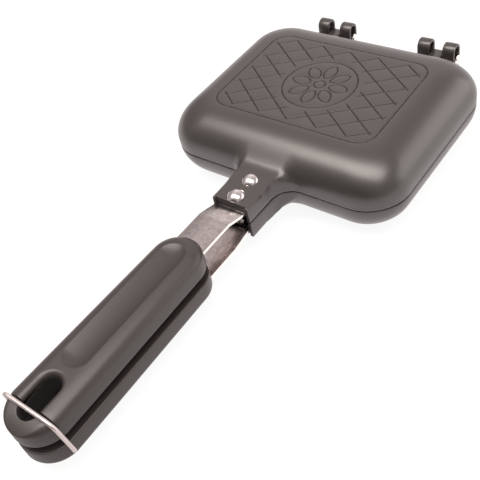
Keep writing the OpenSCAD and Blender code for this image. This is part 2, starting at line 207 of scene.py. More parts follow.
def makePiece(name, body, rides, stands, slot, sharp=40):
    # points that meet become one, faces that vanish are left out, and each corner keeps its own normal
    bm = bmesh.new()
    corners = [bm.verts.new(p) for p in toFrame(body["points"])]
    bm.verts.index_update()
    doubles = bmesh.ops.find_doubles(bm, verts=corners, dist=meshing["weld"] / 1000)["targetmap"]
    target = np.arange(len(corners))
    for point, kept in doubles.items():
        target[point.index] = kept.index
    bm.free()
    faces, normals = [], []
    for face in body["faces"]:
        ring = [(int(target[i]), i) for i in face]
        ring = [pair for k, pair in enumerate(ring) if pair[0] != ring[k - 1][0]]
        if len({a for a, _ in ring}) == len(ring) > 2:
            faces.append([a for a, _ in ring])
            normals.append([body["normals"][b] for _, b in ring])
    faces, normals = joinSeams(np.array(body["points"], float), faces, normals)
    normals = [normal for own in normals for normal in own]
    used, where = np.unique(np.concatenate(faces), return_inverse=True)
    ends = np.cumsum([len(f) for f in faces])
    faces = [tuple(map(int, part)) for part in np.split(where, ends[:-1])]
    mesh = bpy.data.meshes.new(name)
    mesh.from_pydata([tuple(p) for p in toFrame(body["points"])[used]], [], faces)
    if mesh.validate():
        raise RuntimeError(name + " has a face that Blender can't keep")
    mesh.shade_smooth()
    mesh.set_sharp_from_angle(angle=math.radians(sharp))
    if np.any(normals):
        mesh.normals_split_custom_set(normals)
    # the groove mask of painted shade, for the finish to darken
    if "groove" in body:
        mask = mesh.attributes.new("groove", "FLOAT", "POINT")
        mask.data.foreach_set("value", np.array([body["groove"](*body["points"][i]) for i in used], float))
    mesh.materials.append(finishes[slot])
    piece = bpy.data.objects.new(name, mesh)
    bpy.context.scene.collection.objects.link(piece)
    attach(piece, rides)
    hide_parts(*stands)


def tangents(path):
    return unit(np.gradient(path, axis=0))


def sweepTube(path, r, sides):
    # rings of points round a path
    path = np.array(path, float)
    ahead = tangents(path)
    side = np.cross(ahead[0], (0, 0, 1.0))
    turn = np.linspace(0, 2 * math.pi, sides, endpoint=False)
    rows = []
    for p, t in zip(path, ahead):
        side = unit(side - t * side.dot(t))
        rows.append(p + r * (np.outer(np.cos(turn), side) + np.outer(np.sin(turn), np.cross(t, side))))
    return rows


def lathe(body, profile, centre, axis, sides):
    # profile is (radius, distance along the axis) from one end to the other
    axis = np.array(axis, float)
    u = unit(np.cross(axis, (0, 0, 1.0) if abs(axis[2]) < 0.9 else (1.0, 0, 0)))
    turn = np.linspace(0, 2 * math.pi, sides, endpoint=False)
    ring = np.outer(np.cos(turn), u) + np.outer(np.sin(turn), np.cross(axis, u))
    addGrid(body, [np.array(centre) + r * ring + h * axis for r, h in profile], closeAcross=True)


def nodeGroup(name, inputs, outputs):
    group = bpy.data.node_groups.new(name, "ShaderNodeTree")
    for label, value in inputs.items():
        socket = group.interface.new_socket(label, in_out="INPUT", socket_type="NodeSocketFloat")
        socket.default_value = value
    for label in outputs:
        group.interface.new_socket(label, in_out="OUTPUT", socket_type="NodeSocketFloat")
    return group, group.nodes.new("NodeGroupInput").outputs, group.nodes.new("NodeGroupOutput").inputs


def place(tree, kind, values=None, **links):
    # a node with its settings and input values, wired from other sockets
    node = tree.nodes.new(kind)
    for key, value in (values or {}).items():
        if hasattr(node, key):
            setattr(node, key, value)
        else:
            node.inputs[key].default_value = value
    for key, socket in links.items():
        tree.links.new(socket, node.inputs[key.replace("_", " ")])
    return node


def mathNode(tree, operation, a, b=0.0, clamp=False):
    node = tree.nodes.new("ShaderNodeMath")
    node.operation = operation
    node.use_clamp = clamp
    for socket, value in zip(node.inputs, (a, b)):
        if isinstance(value, (int, float)):
            socket.default_value = value
        else:
            tree.links.new(value, socket)
    return node.outputs[0]


def mixColor(tree, factor, a, b):
    node = tree.nodes.new("ShaderNodeMix")
    node.data_type = "RGBA"
    for socket, value in zip((node.inputs[0], node.inputs[6], node.inputs[7]), (factor, a, b)):
        if isinstance(value, (int, float, tuple)):
            socket.default_value = value
        else:
            tree.links.new(value, socket)
    return node.outputs[2]


def objectPlace(tree):
    return tree.nodes.new("ShaderNodeTexCoord").outputs["Object"]


def makeSpeckle():
    # fine grain of a coat or moulding, with broad patches of tone under it
    group, start, end = nodeGroup(
        "coat speckle", {"Grain per metre": 1500.0, "Patches per metre": 25.0, "Patch strength": 0.5},
        ("Grain", "Patches"))
    where = objectPlace(group)
    fine = place(group, "ShaderNodeTexNoise", {"Detail": 3.0, "Roughness": 0.6},
                 Vector=where, Scale=start["Grain per metre"])
    broad = place(group, "ShaderNodeTexNoise", {"Detail": 4.0, "Roughness": 0.55},
                  Vector=where, Scale=start["Patches per metre"])
    patches = mathNode(group, "SUBTRACT", broad.outputs["Fac"], 0.5)
    patches = mathNode(group, "MULTIPLY", patches, start["Patch strength"])
    group.links.new(fine.outputs["Fac"], end["Grain"])
    group.links.new(mathNode(group, "ADD", patches, 0.5, True), end["Patches"])
    return group


def makeEdgeWear():
    # mask of the edges where a finish is rubbed thin, broken up by noise
    group, start, end = nodeGroup(
        "edge wear", {"Edge width": 0.0004, "Edge gain": 9.0, "Amount": 0.5, "Breaks per metre": 400.0,
                      "Broken above": 0.42, "Break gain": 5.0}, ("Mask",))
    soft = place(group, "ShaderNodeBevel", {"samples": 6}, Radius=start["Edge width"])
    flat = group.nodes.new("ShaderNodeNewGeometry")
    dot = place(group, "ShaderNodeVectorMath", {"operation": "DOT_PRODUCT"})
    group.links.new(soft.outputs[0], dot.inputs[0])
    group.links.new(flat.outputs["Normal"], dot.inputs[1])
    bend = mathNode(group, "SUBTRACT", 1.0, dot.outputs["Value"])
    edge = mathNode(group, "MULTIPLY", bend, start["Edge gain"], True)
    noise = place(group, "ShaderNodeTexNoise", {"Detail": 4.0, "Roughness": 0.65},
                  Scale=start["Breaks per metre"], Vector=objectPlace(group))
    broken = mathNode(group, "SUBTRACT", noise.outputs["Fac"], start["Broken above"])
    broken = mathNode(group, "MULTIPLY", broken, start["Break gain"], True)
    mask = mathNode(group, "MULTIPLY", edge, broken)
    group.links.new(mathNode(group, "MULTIPLY", mask, start["Amount"], True), end["Mask"])
    return group


def makeMottle():
    # cloudy patches and short rolled scratches of bare metal
    group, start, end = nodeGroup(
        "steel mottle", {"Clouds per metre": 260.0, "Scratches per metre": 900.0}, ("Clouds", "Scratches"))
    where = objectPlace(group)
    clouds = place(group, "ShaderNodeTexNoise", {"Detail": 6.0, "Roughness": 0.7, "Distortion": 0.6},
                   Vector=where, Scale=start["Clouds per metre"])
    stretch = place(group, "ShaderNodeMapping", {"Scale": (1.0, 0.4, 1.0)}, Vector=where)
    lines = place(group, "ShaderNodeTexNoise", {"Detail": 4.0, "Roughness": 0.7},
                  Vector=stretch.outputs[0], Scale=start["Scratches per metre"])
    group.links.new(clouds.outputs["Fac"], end["Clouds"])
    group.links.new(lines.outputs["Fac"], end["Scratches"])
    return group


speckle = makeSpeckle()
edgeWear = makeEdgeWear()
mottle = makeMottle()


def newMaterial(name):
    material = bpy.data.materials.new(name)
    material.use_nodes = True
    tree = material.node_tree
    return material, tree, tree.nodes["Principled BSDF"]


def useGroup(tree, group, **values):
    node = tree.nodes.new("ShaderNodeGroup")
    node.node_tree = group
    for key, value in values.items():
        node.inputs[key.replace("_", " ")].default_value = value
    return node


# cut is painted shade: near-black where the groove mask marks the engraving, the neck's inside and its end;
# worn is edge wear
coatedCasting = {"dark": (0.032, 0.028, 0.026, 1), "light": (0.046, 0.04, 0.038, 1),
                 "cut": (0.006, 0.005, 0.005, 1), "worn": (0.2, 0.18, 0.17, 1),
                 "patches": 22.0, "patchStrength": 0.9, "grain": 1400.0, "grainHeight": 0.00002,
                 "grainBump": 0.6, "grainRoughness": 0.1, "roughness": 0.34, "shadeMaskRoughness": 0.6,
                 "specular": 1.0, "wear": 0.6, "wearWidth": 0.0005, "wearBreaks": 500.0}


def speckledSkin(name, look):
    # two mixed tones under a fine grain, rougher where the groove mask marks painted shade, which the caller
    # paints near-black
    material, tree, skin = newMaterial(name)
    grain = useGroup(tree, speckle, Grain_per_metre=look["grain"], Patches_per_metre=look["patches"],
                     Patch_strength=look["patchStrength"])
    base = mixColor(tree, grain.outputs["Patches"], look["dark"], look["light"])
    cut = place(tree, "ShaderNodeAttribute", {"attribute_name": "groove"}).outputs["Fac"]
    rough = mathNode(tree, "ADD", look["roughness"] - look["grainRoughness"] / 2,
                     mathNode(tree, "MULTIPLY", grain.outputs["Grain"], look["grainRoughness"]))
    rough = mathNode(tree, "ADD", rough, mathNode(tree, "MULTIPLY", cut, look["shadeMaskRoughness"]), True)
    tree.links.new(rough, skin.inputs["Roughness"])
    bump = place(tree, "ShaderNodeBump", {"Distance": look["grainHeight"], "Strength": look["grainBump"]},
                 Height=grain.outputs["Grain"])
    tree.links.new(bump.outputs[0], skin.inputs["Normal"])
    skin.inputs["Specular IOR Level"].default_value = look["specular"]
    return material, tree, skin, base, cut


def makeCasting():
    look = coatedCasting
    material, tree, skin, base, cut = speckledSkin("coated casting", look)
    wear = useGroup(tree, edgeWear, Edge_width=look["wearWidth"], Amount=look["wear"],
                    Breaks_per_metre=look["wearBreaks"])
    # painted shade: near-black where the mask marks the engraving, the neck's inside and its end
    base = mixColor(tree, cut, base, look["cut"])
    tree.links.new(mixColor(tree, wear.outputs["Mask"], base, look["worn"]), skin.inputs["Base Color"])
    return material


# cut is painted shade: near-black in the groove behind the step and down the slot's wall; dust is real specks
gripMoulding = {"dark": (0.031, 0.0255, 0.023, 1), "light": (0.044, 0.036, 0.033, 1),
                "cut": (0.006, 0.005, 0.005, 1), "dust": (0.3, 0.27, 0.25, 1),
                "patches": 30.0, "patchStrength": 0.7, "grain": 2600.0, "grainHeight": 0.000015,
                "grainBump": 0.5, "grainRoughness": 0.08, "roughness": 0.4, "shadeMaskRoughness": 0.6,
                "specular": 0.72, "specks": 170.0, "speckSize": 0.04, "speckStrength": 0.25}


def makeGripMoulding():
    look = gripMoulding
    material, tree, skin, base, cut = speckledSkin("grip moulding", look)
    specks = place(tree, "ShaderNodeTexVoronoi", {"Scale": look["specks"]}, Vector=objectPlace(tree))
    speck = mathNode(tree, "LESS_THAN", specks.outputs["Distance"], look["speckSize"])
    base = mixColor(tree, mathNode(tree, "MULTIPLY", speck, look["speckStrength"]), base, look["dust"])
    # painted shade: near-black where the mask marks the groove behind the step and the slot's wall
    tree.links.new(mixColor(tree, cut, base, look["cut"]), skin.inputs["Base Color"])
    return material


# edge is the sheared sides' tone: partly the bare cut's own tone, partly a painted edge highlight
strapSteel = {"clean": (0.66, 0.61, 0.6, 1), "stained": (0.44, 0.405, 0.4, 1), "edge": (0.95, 0.9, 0.86, 1),
              "clouds": 300.0, "stainedBelow": 0.36, "stainGain": 3.4, "scratches": 2600.0, "roughness": 0.12,
              "spread": 0.2, "scratchHeight": 0.000009, "scratchBump": 0.6, "cutAt": 0.00943}


def metalSkin(name, look):
    # bare metal with scratches in its roughness
    material, tree, skin = newMaterial(name)
    patches = useGroup(tree, mottle, Clouds_per_metre=look["clouds"], Scratches_per_metre=look["scratches"])
    skin.inputs["Metallic"].default_value = 1.0
    rough = mathNode(tree, "ADD", look["roughness"],
                     mathNode(tree, "MULTIPLY", patches.outputs["Scratches"], look["spread"]))
    tree.links.new(rough, skin.inputs["Roughness"])
    return material, tree, skin, patches


def makeStrapSteel():
    look = strapSteel
    material, tree, skin, patches = metalSkin("strap steel", look)
    clouds = mathNode(tree, "SUBTRACT", patches.outputs["Clouds"], look["stainedBelow"])
    clouds = mathNode(tree, "MULTIPLY", clouds, look["stainGain"], True)
    # the sheared sides of the strip are drawn near-white: partly the bare cut's own tone, partly a painted
    # edge highlight
    where = place(tree, "ShaderNodeSeparateXYZ", Vector=objectPlace(tree))
    cut = mathNode(tree, "GREATER_THAN", mathNode(tree, "ABSOLUTE", where.outputs["X"]), look["cutAt"])
    tone = mixColor(tree, cut, mixColor(tree, clouds, look["stained"], look["clean"]), look["edge"])
    tree.links.new(tone, skin.inputs["Base Color"])
    bump = place(tree, "ShaderNodeBump", {"Distance": look["scratchHeight"], "Strength": look["scratchBump"]},
                 Height=patches.outputs["Scratches"])
    tree.links.new(bump.outputs[0], skin.inputs["Normal"])
    return material


polishedRivet = {"color": (0.86, 0.82, 0.81, 1), "dim": 0.93, "roughness": 0.12, "spread": 0.1,
                 "clouds": 300.0, "scratches": 1500.0}
screwSteel = {"color": (0.5, 0.49, 0.48, 1), "dim": 0.93, "roughness": 0.25, "spread": 0.2,
              "clouds": 500.0, "scratches": 1500.0}
brightWire = {"color": (0.77, 0.705, 0.7, 1), "dim": 0.93, "roughness": 0.42, "spread": 0.1,
              "clouds": 400.0, "scratches": 1500.0}


def makeMetal(name, look):
    material, tree, skin, patches = metalSkin(name, look)
    dim = tuple(look["dim"] * c for c in look["color"][:3]) + (1,)
    tree.links.new(mixColor(tree, patches.outputs["Clouds"], dim, look["color"]), skin.inputs["Base Color"])
    return material


finishes = {"coated_casting": makeCasting(),
            "grip_moulding": makeGripMoulding(),
            "strap_steel": makeStrapSteel(),
            "rivet_metal": makeMetal("polished rivet", polishedRivet),
            "screw_steel": makeMetal("screw steel", screwSteel),
            "bright_wire": makeMetal("bright wire", brightWire)}
print("materials made")

panShape = {"width": 150.0, "depth": 121.0, "cornerR": 23.4, "faceCornerR": 12.0, "fullness": 1.9,
            "wall": 3.0, "rim": 6.0, "lipR": 0.5, "seam": 0.4, "seamEdge": 0.4}
upperCasting = {"height": 23.6, "lip": 4.4, "rounding": 22.0}
lowerCasting = {"height": 23.0, "lip": 1.2, "rounding": 22.0}
neckShape = {"width": 23.0, "length": 30.8, "height": 10.2, "plate": 3.0, "flange": 1.7, "plateShort": 1.4,
             "channelShort": 1.0, "edge": 0.4, "rootEdge": 3.4, "rootFrom": -5.0, "rootTo": 3.0, "flare": 2.4,
             "flareFrom": -6.0, "flareTo": 4.0, "intoPan": 14.0, "blend": 9.0, "webR": 12.0, "webHeight": 6.4,
             "webEdge": 0.6, "webIntoPan": 12.0, "webFlat": 2.0, "webBlend": 5.0, "fade": 5.0}

halfW, halfD = panShape["width"] / 2, panShape["depth"] / 2
panFront = -halfD
neckEnd = panFront - neckShape["length"]
neckHalf = neckShape["width"] / 2
flangeX = neckHalf - neckShape["flange"]
plateEnd = neckEnd + neckShape["plateShort"]
plateUnder = neckShape["height"] - neckShape["plate"]
channelEnd = panFront - neckShape["channelShort"]
middleHalf = neckHalf + neckShape["webR"]   # the part of the front that the neck and webs take


def roundingAt(t, casting, skin=0.0):
    # inset, height and corner radius on the rounding, t in degrees from the lip to the flat face
    f = 2 / panShape["fullness"]
    c = np.cos(np.radians(t)).clip(0) ** f
    s = np.sin(np.radians(t)).clip(0) ** f
    inset = skin + (casting["rounding"] - skin) * (1 - c)
    z = casting["lip"] + (casting["height"] - casting["lip"] - skin) * s
    r = panShape["cornerR"] - skin - (panShape["cornerR"] - panShape["faceCornerR"]) * (1 - c)
    return inset, z, r


def panLoop(inset, r, openFront=True):
    # outline drawn in by inset, counterclockwise from the right of the neck round to its left
    w, d = halfW - inset, halfD - inset

    def run(start, end, steps):
        return np.linspace(start, end, steps + 1)[1:]

    def corner(cx, cy, start):
        return arc(cx, cy, r, start, start + 90, 15)[1:]

    line = [[(middleHalf, -d)], run((middleHalf, -d), (w - r, -d), 8), corner(w - r, r - d, -90),
            run((w, r - d), (w, d - r), 14), corner(w - r, d - r, 0),
            run((w - r, d), (r - w, d), 18), corner(r - w, d - r, 90),
            run((-w, d - r), (-w, r - d), 14), corner(r - w, r - d, 180),
            run((r - w, -d), (-middleHalf, -d), 8)]
    if not openFront:
        line.append(run((-middleHalf, -d), (middleHalf, -d), 12)[:-1])
    return np.concatenate(line)


def middleHeight(x, y, casting):
    # top of the neck, its webs and the pan's front rounding, blended like a casting's fillets
    neck = neckShape
    deep, farIn = -30.0, 70.0   # past any place that is asked for
    inset, z, _ = roundingAt(np.linspace(0, 90, 91), casting)
    profile = np.vstack([[(0.0, deep)], np.column_stack([inset, z]), [(farIn, casting["height"])]])
    q, ax = y - panFront, np.abs(x)
    edge = neck["edge"] + (neck["rootEdge"] - neck["edge"]) * smooth(neck["rootFrom"], neck["rootTo"], q)
    wide = neckHalf + neck["flare"] * smooth(neck["flareFrom"], neck["flareTo"], q)
    fall = smooth(neckHalf + neck["webFlat"], middleHalf, ax)
    webTop = neck["webHeight"] - (neck["webHeight"] - casting["lip"]) * fall
    fade = 1 - smooth(middleHalf - neck["fade"], middleHalf, ax)

    def domeDistance(h):
        best = np.full(q.shape, 1e9)
        for (ay, az), (by, bz) in zip(profile[:-1], profile[1:]):
            uy, uz = by - ay, bz - az
            k = np.clip(((q - ay) * uy + (h - az) * uz) / (uy * uy + uz * uz), 0, 1)
            best = np.minimum(best, (q - ay - k * uy) ** 2 + (h - az - k * uz) ** 2)
        within = (q > 0) & (h < np.interp(q, profile[1:, 0], profile[1:, 1]))
        return np.where(within, -np.sqrt(best), np.sqrt(best))

    def plateDistance(h):
        low, high = (-wide, neckEnd - 0.001, deep), (wide, panFront + neck["intoPan"], neck["height"])
        d = [np.abs(v - (a + b) / 2) - (b - a) / 2 + edge for v, a, b in zip((x, y, h), low, high)]
        out = np.sqrt(sum(np.maximum(v, 0) ** 2 for v in d))
        return out + np.minimum(np.maximum(np.maximum(d[0], d[1]), d[2]), 0) - edge

    def webDistance(h):
        r = neck["webEdge"]
        ends = np.maximum(-neck["webR"] - q, q - neck["webIntoPan"])
        side = np.maximum(neck["webR"] - np.hypot(ax - middleHalf, q + neck["webR"]),
                          np.maximum(ax - middleHalf, ends))
        top = h - webTop
        out = np.hypot(np.maximum(side + r, 0), np.maximum(top + r, 0))
        return out + np.minimum(np.maximum(side, top) + r, 0) - r

    def field(h):
        front = softMin(domeDistance(h), webDistance(h), neck["webBlend"] * fade + 0.05)
        return softMin(front, plateDistance(h), neck["blend"] * fade + 0.05)

    # down from above in steps until the metal starts, then halve the last step
    step, close = 0.4, 0.002
    low, high = np.full(x.shape, casting["lip"] - 0.01), np.full(x.shape, casting["lip"] + 0.01)
    found = np.zeros(x.shape, bool)
    for h in np.arange(casting["height"] + 3, casting["lip"] - 0.2, -step):
        solid = (field(np.full(x.shape, h)) < close) & ~found
        low[solid], high[solid] = h, h + step
        found |= solid
    for _ in range(14):
        mid = (low + high) / 2
        solid = field(mid) < close
        low, high = np.where(solid, mid, low), np.where(solid, high, mid)
    return (low + high) / 2


def middleColumns(edgeX):
    # x of each column of the neck at one row: dense at its edges, then out over the web
    part = neckHalf - np.array([0, 0.05, 0.15, 0.3, 0.5, 0.75, 1.1, 1.4, 1.65, 1.75, 2.3, 3.2, 4.6, 6.2, 7.8,
                                9.6, 11.5])
    steps = np.array([0.04, 0.09, 0.16, 0.25, 0.36, 0.48, 0.6, 0.72, 0.82, 0.9, 0.95, 0.98, 1.0])
    right = np.concatenate([part[::-1], neckHalf + (edgeX - neckHalf) * steps])
    return np.concatenate([-right[:0:-1], right])


def neckRows():
    # y and outermost x of each row, from the neck's end to where the front rounding starts
    r = neckShape["webR"]
    straight = np.concatenate([[0, 0.15, 0.4, 0.8, 1.3], np.linspace(2, neckShape["length"] - r, 14)])
    turn = np.radians(np.linspace(6, 90, 15))
    return [(neckEnd + s, neckHalf) for s in straight] + list(zip(panFront - r * (1 - np.sin(turn)),
                                                                  middleHalf - r * np.cos(turn)))


def middleGrid(casting, loops, levels):
    # the neck, its webs and the front rounding, whose outermost columns lie on the pan's own loops
    rows = neckRows() + [(panFront + q, middleHalf) for q in roundingAt(levels[1:], casting)[0]]
    xs = np.array([middleColumns(edgeX) for _, edgeX in rows])
    ys = np.array([np.full(xs.shape[1], y) for y, _ in rows])
    zs = middleHeight(xs, ys, casting)
    zs[-1] = casting["height"]
    # the plate ends a little short of its two flanges
    short = neckShape["plateShort"] * smooth(flangeX + 0.05, flangeX - 0.05, np.abs(xs))
    ys = ys + short * (1 - smooth(0, 6, ys - neckEnd))
    grid = np.stack([xs, ys, zs], 2)
    for k, loop in enumerate(loops, len(rows) - len(loops)):
        grid[k, 0], grid[k, -1] = loop[-1], loop[0]
    return grid


def addWalls(body, outline, openAt):
    # down to the seam with a small rounded foot, and open at the neck's end between the flanges
    seam, edge = panShape["seam"], panShape["seamEdge"]
    ahead = np.roll(outline[:, :2], -1, 0) - np.roll(outline[:, :2], 1, 0)
    outward = np.column_stack([ahead[:, 1], -ahead[:, 0]])
    outward[openAt], outward[openAt + 1] = (-1, -1), (1, -1)
    outward = unit(outward)
    walls = [outline]
    for share in (0.6, 0.25, 0.0):
        z = (seam + edge) * (1 - share) + outline[:, 2] * share
        walls.append(np.column_stack([outline[:, :2], z]))
    for turn in np.radians((30, 60, 90)):
        plan = outline[:, :2] - outward * edge * (1 - math.cos(turn))
        walls.append(atHeight(plan, seam + edge * (1 - math.sin(turn))))
    addGrid(body, np.roll(walls, -openAt - 1, 1)[:, ::-1])
    return walls[-1][:, :2]


def addNeckInside(body, endTop):
    # flange ends, plate end and channel
    seam, tall = panShape["seam"], neckShape["height"] - 0.3
    for side in (-1, 1):
        top = sorted((p for p in endTop if side * p[0] >= flangeX - 0.01), key=lambda p: side * p[0])
        xs = [p[0] if abs(p[0]) < neckHalf - 0.01 else side * (neckHalf - 0.1) for p in top]
        addGrid(body, [top, [(x, neckEnd, seam + 0.1) for x in xs]], flip=side > 0)
        wall = [[(side * flangeX, y, z) for z in (seam, tall)] for y in (neckEnd, channelEnd)]
        addGrid(body, wall, flip=side > 0)
    mid = endTop[np.abs(endTop[:, 0]) <= flangeX + 0.01]
    edge = [(x, plateEnd - 0.02, z - 0.02) for x, _, z in mid]
    addGrid(body, [edge, [(x, plateEnd, plateUnder) for x, _, _ in edge]])
    ends = (-flangeX, flangeX)
    addGrid(body, [[(x, y, plateUnder) for x in ends] for y in (plateEnd, channelEnd)], flip=True)
    addGrid(body, [[(x, channelEnd, z) for x in ends] for z in (plateUnder, seam)])


def addRimAndCavity(body, casting, foot, openAt):
    # the face that meets the other half, and the hollow inside it
    pan = panShape
    seam, wall, lipR = pan["seam"], pan["wall"], pan["lipR"]
    cutIn = [(-flangeX, neckEnd), (-flangeX, channelEnd), (flangeX, channelEnd), (flangeX, neckEnd)]
    face = np.concatenate([foot[:openAt + 1], cutIn, foot[openAt + 1:]])
    share = (pan["rim"] - wall) / (casting["rounding"] - wall)   # of the rounding, under the rim
    start = math.degrees(math.acos((1 - share) ** (pan["fullness"] / 2)))
    startR = roundingAt(start, casting, wall)[2]
    cavity = []
    for turn in np.radians(np.linspace(0, 90, 5)):
        left = lipR * (1 - math.sin(turn))
        loop = panLoop(pan["rim"] - left, startR + left, openFront=False)
        cavity.append(atHeight(loop, seam + lipR * (1 - math.cos(turn))))
    for t in np.linspace(start, 90, 26):
        inset, z, r = roundingAt(t, casting, wall)
        cavity.append(atHeight(panLoop(inset, r, openFront=False), z))
    mouth, ceiling = cavity[0][:, :2], cavity[-1][:, :2]
    addSheet(body, [(True, face), (True, mouth)], between(face, mouth), flatAt(seam), up=-1)
    addGrid(body, cavity, closeAcross=True, flip=True)
    addSheet(body, [(True, ceiling)], lambda p: inside(ceiling, p), flatAt(cavity[-1][0, 2]), up=-1)


def castingBody(casting, engraved):
    body = newBody()
    body["groove"] = lambda x, y, z: paintedShadeMask(casting, x, y, z)
    levels = np.concatenate([np.linspace(0, 30, 13), np.linspace(30, 90, 25)[1:]])
    loops = [atHeight(panLoop(inset, r), z) for inset, z, r in zip(*roundingAt(levels, casting))]
    middle = middleGrid(casting, loops, levels)
    addGrid(body, loops)
    addGrid(body, middle)
    # outline at the foot of all that: pan, left web and neck, neck end, right neck and web
    last = len(neckRows()) - 1
    outline = np.concatenate([loops[0], middle[:last, 0][::-1], middle[:last, -1]])
    openAt = len(loops[0]) + last - 1
    foot = addWalls(body, outline, openAt)
    addNeckInside(body, middle[0])
    addRimAndCavity(body, casting, foot, openAt)
    # flat outer face
    ring = np.concatenate([loops[-1][:, :2], middle[-1, 1:-1, :2]])
    lines, height = engravedFace(casting["height"]) if engraved else ([], flatAt(casting["height"]))
    addSheet(body, [(True, ring)] + lines, lambda p: inside(ring, p), height)
    return body


engraving = {"margin": 1.0, "lineWidth": 0.9, "side": 0.3, "depth": 0.6, "soft": 0.12, "border": 10.5,
             "pitch": 11.0, "slope": 36.0, "shortest": 1.5, "ring": 22.0, "petals": 8, "petalFrom": 0.25,
             "petalTo": 0.84, "petalArc": 1.15, "eye": 0.17, "latticeInset": 3.5, "gap": 3.0}


def roundedPath(w, d, r):
    x, y = w / 2 - r, d / 2 - r
    return np.concatenate([arc(sx * x, sy * y, r, start, start + 90, 10)
                           for sx, sy, start in ((1, -1, -90), (1, 1, 0), (-1, 1, 90), (-1, -1, 180))])


def petalPath(turn):
    cut = engraving
    half = cut["lineWidth"] / 2
    a, b = cut["petalFrom"] * cut["ring"] + half, cut["petalTo"] * cut["ring"] - half
    halfL = (b - a) / 2
    r = cut["petalArc"] * halfL
    spread = math.degrees(math.asin(halfL / r))
    edge = arc((a + b) / 2, -math.sqrt(r * r - halfL * halfL), r, 90 + spread, 90 - spread, 15)
    leaf = np.concatenate([edge, edge[::-1][1:-1] * (1, -1)])
    return leaf @ np.array([[math.cos(turn), math.sin(turn)], [-math.sin(turn), math.cos(turn)]])


def latticePaths(w, d, r):
    # slanted lines both ways, cut off at the field's border and round the medallion
    cut = engraving
    field = roundedPath(w, d, r)
    step = 0.05
    s = np.arange(-90, 90, step)
    paths = []
    for a in (-math.radians(cut["slope"]), math.radians(cut["slope"])):
        along, across = np.array([math.cos(a), math.sin(a)]), np.array([-math.sin(a), math.cos(a)])
        for i in range(-8, 9):
            pts = across * (i + 0.5) * cut["pitch"] + s[:, None] * along
            ok = inside(field, pts) & (np.hypot(pts[:, 0], pts[:, 1]) > cut["ring"] + cut["gap"])
            ends = np.flatnonzero(np.diff(ok.astype(int)))
            for low, high in zip(ends[::2], ends[1::2]):
                if (high - low) * step > cut["shortest"]:
                    paths.append((False, pts[[low + 1, high]]))
    return paths


def engravedPaths():
    # centre lines of the grooves: (closed, points)
    cut = engraving
    half = cut["lineWidth"] / 2
    w, d = (panShape[k] - 2 * (upperCasting["rounding"] + cut["margin"]) for k in ("width", "depth"))
    inset = cut["latticeInset"]
    paths = [roundedPath(w - 2 * half, d - 2 * half, cut["border"] - half)]
    for r, n in ((cut["ring"], 96), (cut["eye"] * cut["ring"], 32)):
        paths.append(arc(0, 0, r - half, 0, 360, n + 1)[:-1])
    paths += [petalPath(math.radians(360 * i / cut["petals"])) for i in range(cut["petals"])]
    lattice = latticePaths(w - 2 * inset, d - 2 * inset, cut["border"] - inset)
    return [(True, path) for path in paths] + lattice


def drawnOut(loop, d):
    # a closed loop moved outward by d all round
    one, two = unit(loop - np.roll(loop, 1, 0)), unit(np.roll(loop, -1, 0) - loop)
    first = np.column_stack([one[:, 1], -one[:, 0]])
    n = first + np.column_stack([two[:, 1], -two[:, 0]])
    n /= np.maximum(np.linalg.norm(n, axis=1), 1e-6)[:, None]
    n /= np.maximum((n * first).sum(1), 0.4)[:, None]   # longer at a corner, up to a limit
    return loop + n * d


def engravedFace(top):
    cut = engraving
    paths = engravedPaths()
    half = cut["lineWidth"] / 2
    lines, segments = [], []
    for closed, path in paths:
        for d in (half + cut["soft"], half - cut["soft"] * 0.3, half - cut["side"]):
            if closed:
                lines += [(True, drawnOut(path, d)), (True, drawnOut(path, -d))]
            else:
                along = unit(path[1] - path[0])
                a, b = path + np.array([-along, along]) * (d - half)
                n = np.array([along[1], -along[0]]) * d
                lines.append((True, np.array([a + n, b + n, b - n, a - n])))
        segments += list(zip(path, np.roll(path, -1, 0)))[:len(path) if closed else 1]

    def height(x, y):
        best = np.full(x.shape, 9.0)
        for a, b in segments:
            ab = b - a
            k = np.clip(((x - a[0]) * ab[0] + (y - a[1]) * ab[1]) / ab.dot(ab), 0, 1)
            best = np.minimum(best, np.hypot(x - a[0] - k * ab[0], y - a[1] - k * ab[1]))
        return top - cut["depth"] * (1 - smooth(half - cut["side"], half + cut["soft"], best))

    return lines, height


hingeShape = {"x": 35.5, "width": 24.0, "ring": 7.85, "back": 15.0, "pinZ": 2.5, "pinR": 2.5, "pinGap": 0.05,
              "slotR": 2.7, "ringR": 4.5, "top": 13.2, "ringEdge": 0.75, "lugR": 4.1, "lugEdge": 0.6,
              "sideGap": 0.3, "rootIn": 3.0, "footZ": -2.55, "rootZ": -8.0, "lugUnder": 1.25, "lugRoot": 1.35,
              # corners under the ring, from the pin: in front of it, and then behind
              "ringFront": [(-4.5, -1.2), (-5.2, -2.55)], "ringBack": [(-2.0, -6.5), (3.5, -3.0), (4.2, 0.0)]}
hingeY = halfD + hingeShape["back"]
hingeRoot = halfD - hingeShape["rootIn"]


def ringOutline():
    h = hingeShape
    rise = h["top"] - h["ringR"]
    front, back = ([(hingeY + y, z) for y, z in h[side]] for side in ("ringFront", "ringBack"))
    loop = np.concatenate([arc(hingeY, rise, h["ringR"], 0, 180, 19), front,
                           [(hingeRoot, h["footZ"]), (hingeRoot, h["rootZ"])], back])
    hole = np.concatenate([arc(hingeY, rise, h["slotR"], 0, 180, 15),
                           arc(hingeY, h["pinZ"], h["slotR"], 180, 360, 15)])
    return loop, hole


def lugOutline():
    h = hingeShape
    loop = np.concatenate([arc(hingeY, h["pinZ"], h["lugR"], -80, 90, 19),
                           [(hingeRoot, h["pinZ"] + h["lugR"]), (hingeRoot, h["lugRoot"])],
                           [(halfD + 1, h["lugUnder"])]])
    return loop, arc(hingeY, h["pinZ"], h["pinR"] + h["pinGap"], 0, 360, 25)[:-1]


